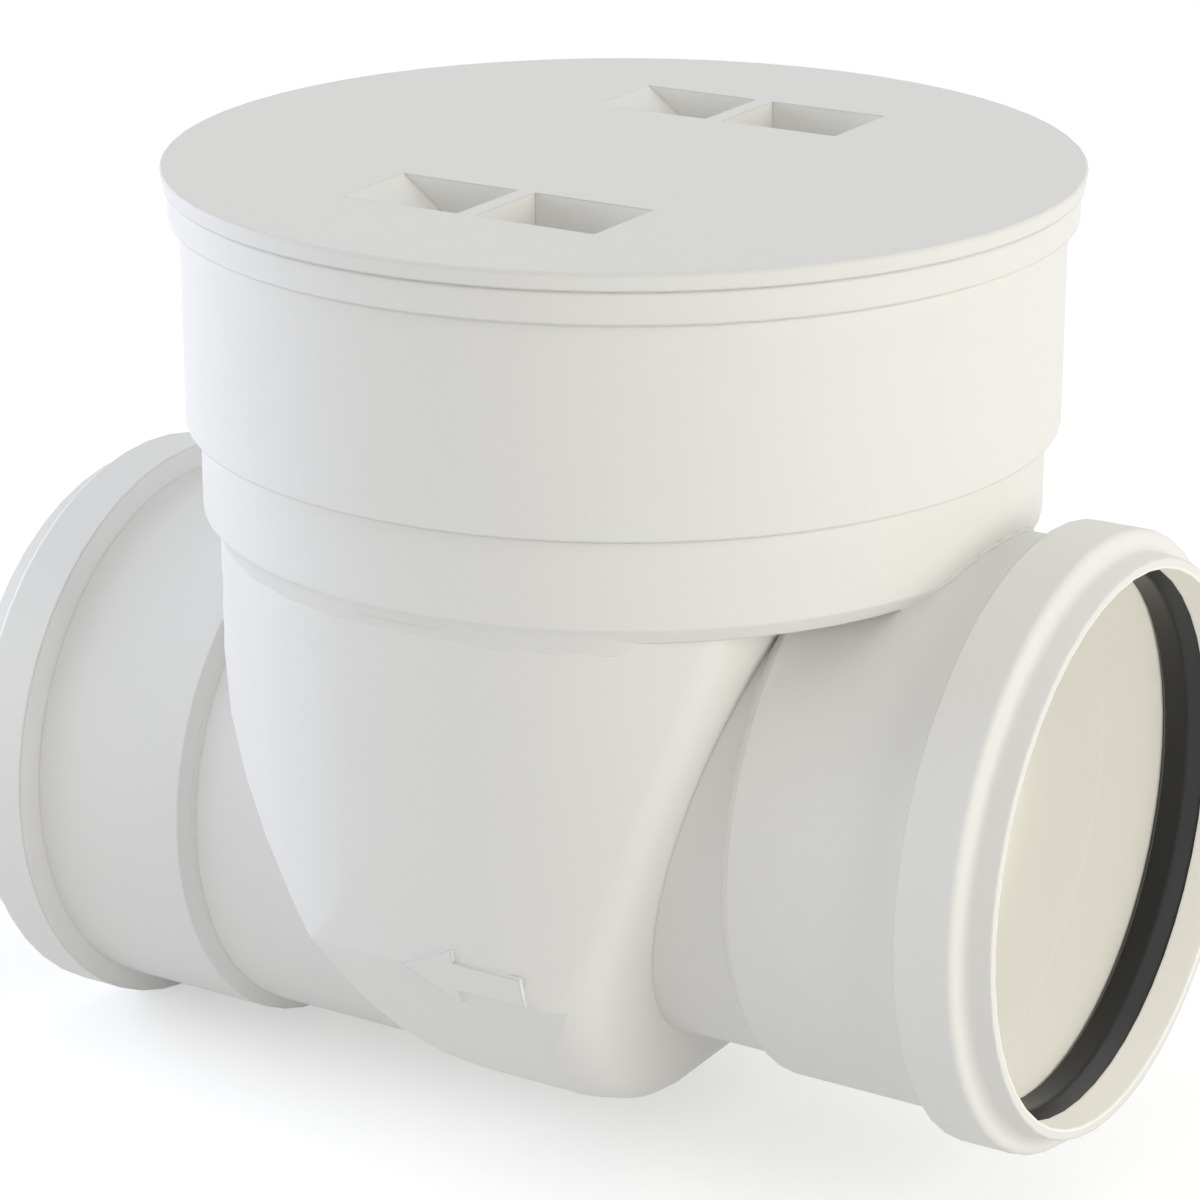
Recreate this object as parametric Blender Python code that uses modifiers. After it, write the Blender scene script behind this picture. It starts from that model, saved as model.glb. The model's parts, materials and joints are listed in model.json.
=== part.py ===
"""DN 100 backwater valve: a housing with a leaning seat and a hanging flap, two rubber-ring
sockets, and an access chamber with a push-in lid.

The origin is the centre of the inlet socket's mouth. +X points out of that mouth, so water
runs towards -X, and +Z is up. Lengths are in metres and angles in radians.
"""

import math

import bmesh
import bpy

MM = 0.001
GAP = 0.3 * MM  # between pieces that touch

# Pipe, spigots and sockets
PIPE_RADIUS = 50.8 * MM  # outside of a DN 100 pipe, and of the housing's spigots
SPIGOT_WALL = 2.8 * MM
SPIGOT_OVERLAP = 9.0 * MM  # length of spigot inside its socket
SOCKET_CLEARANCE = 0.35 * MM
SOCKET_WALL = 2.15 * MM
LIP_LENGTH = 5.3 * MM
BEAD_LENGTH = 11.2 * MM
BEAD_CORNER = 1.4 * MM
BEAD_FOOT = 2.0 * MM  # hollow rounding between the bead's front and the lip
SOCKET_BODY = 36.6 * MM  # the plain tube behind the bead
SOCKET_LENGTH = LIP_LENGTH + BEAD_LENGTH + SOCKET_BODY
SOCKET_STEP = 27.7 * MM  # depth of the fine step in the bore
BEAD_SHOULDER = 1.5 * MM
GROOVE_DEPTH = 4.1 * MM
GROOVE_WIDTH = 9.0 * MM
SEAL_SQUEEZE = 0.8 * MM  # how far the ring stands inside the pipe's surface

# Housing, measured from the chamber's axis and the inlet's axis
HOUSING_MARGIN = 24.5 * MM  # from a pipe's surface to the round wall
HOUSING_RADIUS = PIPE_RADIUS + HOUSING_MARGIN
HOUSING_WALL = 3.0 * MM
SADDLE_WALL = 1.4 * MM  # where the sockets' rear ends are let into the housing
LEDGE_FALL = 3.8 * MM  # from the top of a pipe down to the ledge that carries the chamber
LEDGE_HEIGHT = PIPE_RADIUS - LEDGE_FALL
TOP_SPIGOT = 17.0 * MM
HOUSING_TOP = LEDGE_HEIGHT + TOP_SPIGOT
TROUGH_INSET = 1.0 * MM
TROUGH_HALF_WIDTH = HOUSING_RADIUS - TROUGH_INSET
TROUGH_MARGIN = 8.2 * MM  # deeper than a pipe's radius
TROUGH_DEPTH = PIPE_RADIUS + TROUGH_MARGIN
TROUGH_CENTRE = -4.7 * MM
TROUGH_FLAT = 4.0 * MM  # half width of the flat strip underneath
INLET_WALL_INSET = 35.4 * MM  # at the inlet's axis, from the round wall's radius
INLET_WALL_X = HOUSING_RADIUS - INLET_WALL_INSET
INLET_LEAN = math.radians(15.2)
INLET_FILLET = 8.0 * MM
OUTLET_UPPER_LEAN = math.radians(42.6)
OUTLET_LOWER_LEAN = math.radians(29.2)
OUTLET_KNEE_Z = -21.3 * MM  # where the outlet side bends
FLOOR_LENGTH = 20.2 * MM  # between the inlet wall and the outlet side, at the floor
FLOOR_Z = TROUGH_CENTRE - TROUGH_DEPTH
FLOOR_END_X = INLET_WALL_X + math.tan(INLET_LEAN) * FLOOR_Z - FLOOR_LENGTH
OUTLET_KNEE_X = FLOOR_END_X - math.tan(OUTLET_LOWER_LEAN) * (OUTLET_KNEE_Z - FLOOR_Z)
OUTLET_TAPER = 9.0 * MM  # where the outlet spigot runs out under the trough
INLET_LET_IN = 2.1 * MM  # how far the wall overlaps the inlet socket's rear end, at a pipe's top
INLET_REAR = INLET_WALL_X + math.tan(INLET_LEAN) * PIPE_RADIUS - INLET_LET_IN
INLET_REACH = INLET_REAR + SOCKET_LENGTH
OUTLET_LET_IN = 10.3 * MM  # from the round wall's radius to the outlet socket's rear end
OUTLET_REACH = HOUSING_RADIUS - OUTLET_LET_IN + SOCKET_LENGTH
OUTLET_DROP = 15.7 * MM

# Access chamber
SLEEVE_WALL = 2.7 * MM
SLEEVE_CHAMFER = 3.0 * MM
CHAMBER_STEP = 5.8 * MM  # wider than the housing
CHAMBER_RADIUS = HOUSING_RADIUS + CHAMBER_STEP
CHAMBER_WALL = 3.0 * MM
SHOULDER_RISE = 2.9 * MM
CHAMBER_SHOULDER = HOUSING_TOP + SHOULDER_RISE
SHOULDER_FALL = 0.35  # height of the shoulder's underside over its width
STOP_LIP = 3.0 * MM
RIM_BULGE = 2.1 * MM
RIM_HEIGHT = 5.6 * MM

# Lid
CHAMBER_HEIGHT = 47.4 * MM  # from the shoulder to the lid's face
LID_TOP = CHAMBER_SHOULDER + CHAMBER_HEIGHT
LID_OVERHANG = 3.25 * MM
LID_RADIUS = CHAMBER_RADIUS + LID_OVERHANG
LID_THICKNESS = 3.2 * MM
SKIRT_LENGTH = 18.6 * MM
SKIRT_WALL = 5.2 * MM
O_RING_RADIUS = 1.45 * MM
O_RING_DEPTH = 10.7 * MM  # below the lid's underside
POCKET_NEAR = 33.0 * MM
POCKET_FAR = 52.5 * MM
POCKET_REACH = 26.0 * MM
POCKET_DEPTH = 11.0 * MM
POCKET_RAMP = 15.0 * MM
POCKET_RIB = 3.6 * MM
POCKET_WALL = 2.0 * MM

# Seat, flap and hinge
PORT_MARGIN = 6.8 * MM
PORT_RADIUS = PIPE_RADIUS - PORT_MARGIN
GASKET_THICKNESS = 2.0 * MM
GASKET_SETBACK = 0.2 * MM  # off the spigot's bore
GASKET_INNER = PIPE_RADIUS - SPIGOT_WALL + GASKET_SETBACK
GASKET_WIDTH = 1.8 * MM
GASKET_OUTER = GASKET_INNER + GASKET_WIDTH
SEAT_FLANGE = 3.6 * MM
SEAT_WIDTH = 6.5 * MM
SEAT_RADIUS = PORT_RADIUS + SEAT_WIDTH
SEAT_RIM_WIDTH = 3.5 * MM
SEAT_RIM_HEIGHT = 4.0 * MM
EAR_OFFSET = 5.0 * MM  # from the seat's edge to the ears' screws
EAR_CIRCLE = SEAT_RADIUS + EAR_OFFSET
EAR_RADIUS = 6.0 * MM
EAR_ANGLE = math.radians(47.0)
FLAP_LAP = 4.5 * MM  # over the port's edge
FLAP_RADIUS = PORT_RADIUS + FLAP_LAP
FLAP_THICKNESS = 3.5 * MM
FLAP_RIM_HEIGHT = 2.0 * MM
FLAP_SEAL_THICKNESS = 1.8 * MM
FLAP_SEAL_WIDTH = 12.5 * MM
FLAP_SEAL_INNER = FLAP_RADIUS - FLAP_SEAL_WIDTH
RETAINER_THICKNESS = 2.0 * MM
RETAINER_CLEARANCE = 1.2 * MM
HINGE_OFFSET = 4.5 * MM  # from the seat's edge up to the hinge
HINGE_RISE = SEAT_RADIUS + HINGE_OFFSET
HINGE_STANDOFF = 11.5 * MM  # off the housing's inlet wall
PIN_RADIUS = 2.5 * MM
PIN_CLEARANCE = 0.05 * MM
BARREL_RADIUS = 4.2 * MM
BARREL_LENGTH = 43.4 * MM
LUG_THICKNESS = 5.0 * MM
LUG_RADIUS = 5.5 * MM
PIN_OVERHANG = 3.0 * MM
CLIP_THICKNESS = 1.2 * MM
CLIP_RADIUS = 4.8 * MM
FLAP_ARM_SPACING = 28.0 * MM
FLAP_ARM_WIDTH = 6.0 * MM
FLAP_ARM_REACH = 25.0 * MM  # past the flap's middle
FLAP_ARM_LENGTH = HINGE_RISE + FLAP_ARM_REACH
SCREW_RADIUS = 2.0 * MM
SCREW_HEAD_RADIUS = 3.8 * MM
SCREW_HEAD_HEIGHT = 2.2 * MM
SCREW_GRIP = 4.0 * MM  # length in the seat's boss and wall
RETAINER_SCREW_INSET = 12.0 * MM
RETAINER_SCREW_CIRCLE = FLAP_SEAL_INNER - RETAINER_SCREW_INSET

# Fineness of the round shapes
RING_STEPS = 48
LARGE_STEPS = 60
SMALL_STEPS = 16
SCREW_STEPS = 12

HALF_TURN = math.pi
QUARTER_TURN = math.pi / 2


def start_scene():
    """Clear the scene and add one collection for the valve and one for its cutters."""
    for thing in list(bpy.data.objects):
        bpy.data.objects.remove(thing)
    valve = bpy.data.collections.new("backwater_valve")
    cutters = bpy.data.collections.new("cutters")
    bpy.context.scene.collection.children.link(valve)
    bpy.context.scene.collection.children.link(cutters)
    return valve, cutters


VALVE, CUTTERS = start_scene()


def material(name, colour, roughness, metallic=0.0):
    """A Principled material of one colour."""
    made = bpy.data.materials.new(name)
    made.use_nodes = True
    shader = made.node_tree.nodes["Principled BSDF"]
    shader.inputs["Base Color"].default_value = (*colour, 1.0)
    shader.inputs["Roughness"].default_value = roughness
    shader.inputs["Metallic"].default_value = metallic
    return made


PVC = material("white_pvc", (0.80, 0.80, 0.78), 0.42)
PVC_GREY = material("grey_pvc", (0.45, 0.46, 0.47), 0.45)
RUBBER = material("black_rubber", (0.02, 0.02, 0.022), 0.35)
STEEL = material("stainless_steel", (0.62, 0.62, 0.60), 0.3, 1.0)


def empty(name, location, tilt=0.0, parent=None):
    """A frame to hang pieces on, tilted about Y."""
    frame = bpy.data.objects.new(name, None)
    frame.location = location
    frame.rotation_euler = (0.0, tilt, 0.0)
    frame.parent = parent
    VALVE.objects.link(frame)
    return frame


def place(name, mesh, finish, parent, location=(0, 0, 0), rotation=(0, 0, 0), cutter=False):
    """Make an object of a mesh, as a piece of the valve or as a cutter."""
    piece = bpy.data.objects.new(name, mesh)
    piece.parent = parent
    piece.location = location
    piece.rotation_euler = rotation
    if cutter:
        piece.hide_render = True
        piece.display_type = "WIRE"
        CUTTERS.objects.link(piece)
    else:
        mesh.materials.append(finish)
        VALVE.objects.link(piece)
    return piece


def turned(name, profile, finish, parent, steps, closed=True, cutter=False, **where):
    """Spin a profile of (radius, height) points about the object's Z axis."""
    mesh = bpy.data.meshes.new(name)
    count = len(profile)
    edges = [(i, (i + 1) % count) for i in range(count if closed else count - 1)]
    mesh.from_pydata([(radius, 0.0, height) for radius, height in profile], edges, [])
    piece = place(name, mesh, finish, parent, cutter=cutter, **where)
    screw = piece.modifiers.new("turn", "SCREW")
    screw.steps = steps
    screw.render_steps = steps
    screw.use_merge_vertices = True
    screw.merge_threshold = 0.01 * MM
    screw.use_smooth_shade = True
    return piece


def solid(name, shape, finish=None, parent=None, cutter=False, **where):
    """Turn a finished bmesh into an object."""
    bmesh.ops.recalc_face_normals(shape, faces=shape.faces)
    mesh = bpy.data.meshes.new(name)
    shape.to_mesh(mesh)
    shape.free()
    mesh.set_sharp_from_angle(angle=math.radians(30))
    return place(name, mesh, finish, parent, cutter=cutter, **where)


def cylinder(radius, low, high, steps):
    """A bmesh cylinder along Z between two heights."""
    shape = bmesh.new()
    made = bmesh.ops.create_cone(
        shape, cap_ends=True, segments=steps, radius1=radius, radius2=radius, depth=high - low
    )
    bmesh.ops.translate(shape, verts=made["verts"], vec=(0, 0, (low + high) / 2))
    return shape


def block(low, high):
    """A bmesh box between two corners."""
    shape = bmesh.new()
    made = bmesh.ops.create_cube(shape, size=1.0)
    size = [b - a for a, b in zip(low, high)]
    middle = [(a + b) / 2 for a, b in zip(low, high)]
    bmesh.ops.scale(shape, verts=made["verts"], vec=size)
    bmesh.ops.translate(shape, verts=made["verts"], vec=middle)
    return shape


def prism(outline, low_y, high_y):
    """Extrude an outline of (x, z) points along Y."""
    shape = bmesh.new()
    face = shape.faces.new([shape.verts.new((x, low_y, z)) for x, z in outline])
    grown = bmesh.ops.extrude_face_region(shape, geom=[face])
    moved = [item for item in grown["geom"] if isinstance(item, bmesh.types.BMVert)]
    bmesh.ops.translate(shape, verts=moved, vec=(0, high_y - low_y, 0))
    return shape


def boolean(piece, tool, operation):
    """Cut a piece with a tool, or join the tool to it."""
    cut = piece.modifiers.new(tool.name, "BOOLEAN")
    cut.operation = operation
    cut.object = tool
    cut.solver = "EXACT"


def join(piece, *tools):
    for tool in tools:
        boolean(piece, tool, "UNION")


def cut(piece, *tools):
    for tool in tools:
        boolean(piece, tool, "DIFFERENCE")


def axial(name, radius, low_x, high_x, parent, steps, location=(0, 0, 0)):
    """A cutter: a cylinder along the parent's X axis."""
    shape = cylinder(radius, low_x, high_x, steps)
    return solid(
        name, shape, parent=parent, cutter=True, location=location, rotation=(0, QUARTER_TURN, 0)
    )


def across(name, radius, low_y, high_y, parent, location):
    """A cutter: a cylinder along the parent's Y axis."""
    shape = cylinder(radius, -high_y, -low_y, SMALL_STEPS)
    return solid(
        name, shape, parent=parent, cutter=True, location=location, rotation=(QUARTER_TURN, 0, 0)
    )


# Frames: the chamber's axis, the leaning seat on the inlet wall, and the flap's hinge
CHAMBER_X = -INLET_REACH
SEAT_X = INLET_WALL_X - HOUSING_WALL / math.cos(INLET_LEAN)
chamber_frame = empty("chamber_axis", (CHAMBER_X, 0, 0))
seat_frame_origin = empty("seat_origin", (SEAT_X, 0, 0), INLET_LEAN, chamber_frame)
hinge_frame = empty("flap_hinge", (-HINGE_STANDOFF, 0, HINGE_RISE), 0.0, seat_frame_origin)


# Housing

def trough_half_width(height, inset):
    """Half width of the housing between its long sides, at a height."""
    wide = TROUGH_HALF_WIDTH - inset
    below = TROUGH_CENTRE - height
    if below <= 0:
        return wide
    return wide * math.sqrt(max(0.0, 1 - (below / (TROUGH_DEPTH - inset)) ** 2))


def inlet_x(height, inset):
    """Where the leaning inlet wall stands, at a height."""
    return INLET_WALL_X + math.tan(INLET_LEAN) * height - inset / math.cos(INLET_LEAN)


def outlet_x(height, inset, radius):
    """Where the housing ends on its outlet side: two leaning planes, or its round wall."""
    rise = height - OUTLET_KNEE_Z
    upper = OUTLET_KNEE_X - math.tan(OUTLET_UPPER_LEAN) * rise + inset / math.cos(OUTLET_UPPER_LEAN)
    lower = OUTLET_KNEE_X - math.tan(OUTLET_LOWER_LEAN) * rise + inset / math.cos(OUTLET_LOWER_LEAN)
    return max(min(upper, lower), -radius * math.cos(math.radians(4)))


ARC_POINTS = 9
SHORT_ARC_POINTS = 4
FILLET_POINTS = 5


def housing_section(height, inset, floor):
    """Outline of the housing at a height, as (x, y) points round it from the outlet side."""
    radius = HOUSING_RADIUS - inset
    half = max(trough_half_width(height, inset), TROUGH_FLAT)
    left = outlet_x(height, inset, radius)
    right = inlet_x(height, inset)
    fillet = INLET_FILLET - inset
    lift = height - floor
    if lift < fillet:
        right -= fillet - math.sqrt(fillet**2 - (fillet - lift) ** 2)
    fillet = min(fillet, half * 0.9)
    centre_x = right - fillet
    centre_y = math.sqrt((radius - fillet) ** 2 - centre_x**2)
    start = math.atan2(centre_y, centre_x)
    if centre_y > half - fillet:
        centre_y = half - fillet
        start = QUARTER_TURN
    crest = math.sqrt(max(0.0, radius**2 - half**2))
    last = centre_x + fillet * math.cos(start)
    near = max(-crest, left + 1.5 * MM)
    far = min(crest, last - 1.5 * MM)
    xs = arc_spread(left, near, radius, ARC_POINTS) + arc_spread(far, last, radius, SHORT_ARC_POINTS)
    side = [(x, min(half, math.sqrt(max(0.0, radius**2 - x**2)))) for x in xs[:-1]]
    for i in range(FILLET_POINTS + 1):
        turn = start * (1 - i / FILLET_POINTS)
        side.append((centre_x + fillet * math.cos(turn), centre_y + fillet * math.sin(turn)))
    return side + [(x, -y) for x, y in reversed(side)]


def arc_spread(low, high, radius, count):
    """x values from low to high, evenly spaced in angle round the housing."""
    first = math.acos(max(-1.0, min(1.0, low / radius)))
    final = math.acos(max(-1.0, min(1.0, high / radius)))
    return [radius * math.cos(first + (final - first) * i / count) for i in range(count + 1)]


def round_section(radius):
    """A full circle with as many points as a housing section, in the same order."""
    corner = math.radians(176)
    bend = math.radians(45)
    long_arc = [corner + (HALF_TURN * 0.54 - corner) * i / ARC_POINTS for i in range(ARC_POINTS + 1)]
    short_arc = [
        HALF_TURN * 0.46 + (bend - HALF_TURN * 0.46) * i / SHORT_ARC_POINTS
        for i in range(SHORT_ARC_POINTS)
    ]
    last = math.radians(4)
    end_arc = [bend + (last - bend) * i / FILLET_POINTS for i in range(FILLET_POINTS + 1)]
    side = [
        (radius * math.cos(turn), radius * math.sin(turn)) for turn in long_arc + short_arc + end_arc
    ]
    return side + [(x, -y) for x, y in reversed(side)]


def crease_height(inset):
    """Height at which the round wall ends on the outlet side and only the trough goes on."""
    radius = HOUSING_RADIUS - inset
    low, high = TROUGH_CENTRE - TROUGH_DEPTH / 2, TROUGH_CENTRE
    for _ in range(40):
        middle = (low + high) / 2
        half = trough_half_width(middle, inset)
        if -outlet_x(middle, inset, radius) > math.sqrt(radius**2 - half**2):
            high = middle
        else:
            low = middle
    return high


UPPER_LEVELS = 6
TROUGH_LEVELS = 9


def section_heights(inset, top):
    """Heights of the housing's sections, from the ledge to the floor."""
    bottom = TROUGH_CENTRE - (TROUGH_DEPTH - inset)
    upper = [top + (TROUGH_CENTRE - top) * i / UPPER_LEVELS for i in range(UPPER_LEVELS + 1)]
    lower = [
        TROUGH_CENTRE - (TROUGH_DEPTH - inset) * math.sin(QUARTER_TURN * i / (TROUGH_LEVELS + 1))
        for i in range(1, TROUGH_LEVELS + 1)
    ]
    crease = crease_height(inset)
    extra = [crease + 0.8 * MM, crease]
    kept = [z for z in lower if min(abs(z - e) for e in extra) > 1.5 * MM]
    return sorted(upper + kept + extra, reverse=True) + [bottom]


def loft(sections):
    """Skin a stack of (height, outline) sections into a closed bmesh."""
    shape = bmesh.new()
    rings = [[shape.verts.new((x, y, height)) for x, y in outline] for height, outline in sections]
    for upper, lower in zip(rings, rings[1:]):
        for i in range(len(upper)):
            j = (i + 1) % len(upper)
            shape.faces.new((upper[i], upper[j], lower[j], lower[i]))
    shape.faces.new(rings[0])
    shape.faces.new(rings[-1])
    return shape


def housing_skin(inset, top, ledge):
    """The housing's round top and its narrowed lower body, at an inset from the outside."""
    radius = HOUSING_RADIUS - inset
    floor = TROUGH_CENTRE - (TROUGH_DEPTH - inset)
    sections = [(top, round_section(radius)), (ledge, round_section(radius))]
    for height in section_heights(inset, ledge):
        sections.append((height, housing_section(height, inset, floor)))
    return loft(sections)


def make_housing():
    frame = chamber_frame
    bore = PIPE_RADIUS - SPIGOT_WALL
    tube = PIPE_RADIUS + SOCKET_CLEARANCE + SOCKET_WALL
    inlet_rear = INLET_REACH - SOCKET_LENGTH
    outlet_rear = -(OUTLET_REACH - SOCKET_LENGTH)
    reach = HOUSING_RADIUS * 1.2
    low = (0, 0, -OUTLET_DROP)

    housing = solid("housing", housing_skin(0.0, HOUSING_TOP, LEDGE_HEIGHT), PVC, frame)
    saddle = axial("inlet_saddle", tube + GAP, inlet_rear - GAP, reach, frame, RING_STEPS)
    far_saddle = axial("outlet_saddle", tube + GAP, -reach, outlet_rear + GAP, frame, RING_STEPS, low)
    inlet_end = inlet_rear + SPIGOT_OVERLAP
    inlet_start = SEAT_X / 2
    inlet_spigot = axial("inlet_spigot", PIPE_RADIUS, inlet_start, inlet_end, frame, RING_STEPS)
    outlet_end = outlet_rear - SPIGOT_OVERLAP
    tapered = [
        (0, OUTLET_TAPER),
        (PIPE_RADIUS - OUTLET_TAPER, OUTLET_TAPER),
        (PIPE_RADIUS, 0),
        (PIPE_RADIUS, outlet_end),
        (0, outlet_end),
    ]
    lie = {"location": low, "rotation": (0, QUARTER_TURN, 0)}
    outlet_spigot = turned(
        "outlet_spigot", tapered, None, frame, RING_STEPS, closed=False, cutter=True, **lie
    )
    cut(housing, saddle, far_saddle)
    join(housing, inlet_spigot, outlet_spigot)

    cavity = solid(
        "cavity",
        housing_skin(HOUSING_WALL, HOUSING_TOP + MM, LEDGE_HEIGHT + HOUSING_WALL),
        parent=frame,
        cutter=True,
    )
    wall = GAP + SADDLE_WALL
    guard = axial("inlet_wall", tube + wall, inlet_rear - wall, reach, frame, RING_STEPS)
    far_guard = axial("outlet_wall", tube + wall, -reach, outlet_rear + wall, frame, RING_STEPS, low)
    cut(cavity, guard, far_guard)
    cut(housing, cavity)
    for i, (across_seat, up_seat) in enumerate(ear_places()):
        spot = (0, across_seat, up_seat)
        boss = axial(
            f"seat_boss_{i}", EAR_RADIUS - 1.5 * MM, -GASKET_THICKNESS - GAP, MM, seat_frame_origin, 20, spot
        )
        join(housing, boss)
    inlet_bore = axial("inlet_bore", bore, inlet_start, reach, frame, RING_STEPS)
    outlet_bore = axial("outlet_bore", bore, -reach, -3 * MM, frame, RING_STEPS, low)
    cut(housing, inlet_bore, outlet_bore)
    for i, (across_seat, up_seat) in enumerate(ear_places()):
        spot = (0, across_seat, up_seat)
        hole = axial(
            f"boss_hole_{i}",
            SCREW_RADIUS + GAP,
            -GASKET_THICKNESS - MM,
            SCREW_GRIP - GASKET_THICKNESS,
            seat_frame_origin,
            SCREW_STEPS,
            spot,
        )
        cut(housing, hole)
    return housing


def ear_places():
    """Where the seat's four screws stand: (across, up the seat)."""
    wide = EAR_CIRCLE * math.cos(EAR_ANGLE)
    high = EAR_CIRCLE * math.sin(EAR_ANGLE)
    return [(wide, high), (-wide, high), (-wide, -high), (wide, -high)]


# Sockets and their ring seals

def socket_profile():
    """Profile of a rubber-ring socket, mouth at height 0 and body below it."""
    bore = PIPE_RADIUS + SOCKET_CLEARANCE
    tube = bore + SOCKET_WALL
    groove = bore + GROOVE_DEPTH
    bead = groove + SOCKET_WALL
    bead_end = LIP_LENGTH + BEAD_LENGTH
    groove_start = LIP_LENGTH + (BEAD_LENGTH - GROOVE_WIDTH) / 2
    lip = tube + 0.3 * MM
    foot = [QUARTER_TURN * i / 4 for i in range(5)]
    hollow = [
        (lip + BEAD_FOOT * (1 - math.cos(a)), -LIP_LENGTH + BEAD_FOOT * (1 - math.sin(a))) for a in foot
    ]
    corner = [
        (bead - BEAD_CORNER * (1 - math.sin(a)), -LIP_LENGTH - BEAD_CORNER * (1 - math.cos(a)))
        for a in foot
    ]
    outside = [
        (tube - 0.2 * MM, 0),
        (tube, -0.3 * MM),
        *hollow,
        *corner,
        (bead, -bead_end),
        (tube, -bead_end - BEAD_SHOULDER),
        (tube, -SOCKET_LENGTH + 0.8 * SOCKET_WALL),
        (bore + 0.2 * SOCKET_WALL, -SOCKET_LENGTH),
    ]
    inside = [
        (PIPE_RADIUS + GAP, -SOCKET_LENGTH),
        (PIPE_RADIUS + GAP, -SOCKET_LENGTH + SPIGOT_OVERLAP + GAP),
        (bore - 0.1 * MM, -SOCKET_LENGTH + SPIGOT_OVERLAP + GAP),
        (bore - 0.1 * MM, -SOCKET_STEP - 0.1 * MM),
        (bore, -SOCKET_STEP),
        (bore, -groove_start - GROOVE_WIDTH),
        (groove, -groove_start - GROOVE_WIDTH),
        (groove, -groove_start),
        (bore, -groove_start),
        (bore, -0.2 * MM),
        (bore + 0.2 * MM, 0),
    ]
    return outside + inside


def ring_profile():
    """Profile of the black ring: flat against its groove, with a ramp that leads the pipe in."""
    groove = PIPE_RADIUS + SOCKET_CLEARANCE + GROOVE_DEPTH
    top = -LIP_LENGTH - (BEAD_LENGTH - GROOVE_WIDTH) / 2 - GAP
    bottom = top - GROOVE_WIDTH + 2 * GAP
    outer = groove - GAP
    inner = PIPE_RADIUS - SEAL_SQUEEZE
    shoulder = PIPE_RADIUS + SOCKET_CLEARANCE + 0.6 * MM
    rise = shoulder - inner
    face = [
        (inner + 0.7 * rise, bottom),
        (inner + 0.05 * rise, bottom + 0.1 * (top - bottom)),
        (inner, bottom + 0.58 * (top - bottom)),
        (inner + 0.12 * rise, bottom + 0.7 * (top - bottom)),
        (shoulder, top),
    ]
    return [(outer, top), (outer, bottom), *face]


def make_socket(side, mouth_x, height, turn):
    """A socket and its ring seal, with the mouth facing away from the chamber."""
    where = {"location": (mouth_x, 0, height), "rotation": (0, turn, 0)}
    turned(f"{side}_socket", socket_profile(), PVC, chamber_frame, RING_STEPS, **where)
    turned(f"{side}_ring_seal", ring_profile(), RUBBER, chamber_frame, RING_STEPS, **where)


# Access chamber and lid

def make_chamber():
    sleeve_inner = HOUSING_RADIUS + GAP
    sleeve_outer = sleeve_inner + SLEEVE_WALL
    lip_inner = sleeve_inner - STOP_LIP
    inner = CHAMBER_RADIUS - CHAMBER_WALL
    rim = CHAMBER_RADIUS + RIM_BULGE
    top = LID_TOP - LID_THICKNESS - GAP
    stop = HOUSING_TOP + GAP
    step = CHAMBER_RADIUS - sleeve_outer
    edge = 0.3 * MM
    profile = [
        (rim - edge, top),
        (rim, top - edge),
        (rim, top - RIM_HEIGHT),
        (CHAMBER_RADIUS, top - RIM_HEIGHT - SHOULDER_FALL * RIM_BULGE),
        (CHAMBER_RADIUS, CHAMBER_SHOULDER),
        (sleeve_outer, CHAMBER_SHOULDER - SHOULDER_FALL * step),
        (sleeve_outer, LEDGE_HEIGHT + SLEEVE_CHAMFER),
        (sleeve_inner + edge, LEDGE_HEIGHT),
        (sleeve_inner, LEDGE_HEIGHT),
        (sleeve_inner, stop),
        (lip_inner, stop),
        (lip_inner, stop + STOP_LIP),
        (inner, stop + STOP_LIP + inner - lip_inner),
        (inner, top - edge),
        (inner + edge, top),
    ]
    chamber = turned("access_chamber", profile, PVC, chamber_frame, LARGE_STEPS)
    tube = PIPE_RADIUS + SOCKET_CLEARANCE + SOCKET_WALL
    start = INLET_REACH - SOCKET_LENGTH - GAP
    notch = axial("notch", tube + GAP, start, HOUSING_RADIUS * 1.2, chamber_frame, RING_STEPS)
    cut(chamber, notch)


def pocket_outline(side):
    """Side view of one finger pocket: a ramp from the lid's face to a floor, then a wall."""
    floor = LID_TOP - POCKET_DEPTH
    over = LID_TOP + MM
    ramp_top = POCKET_REACH + POCKET_RAMP * MM / POCKET_DEPTH
    outline = [
        (ramp_top, over),
        (POCKET_REACH - POCKET_RAMP, floor),
        (POCKET_RIB / 2, floor),
        (POCKET_RIB / 2, over),
    ]
    return [(side * x, z) for x, z in outline]


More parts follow.
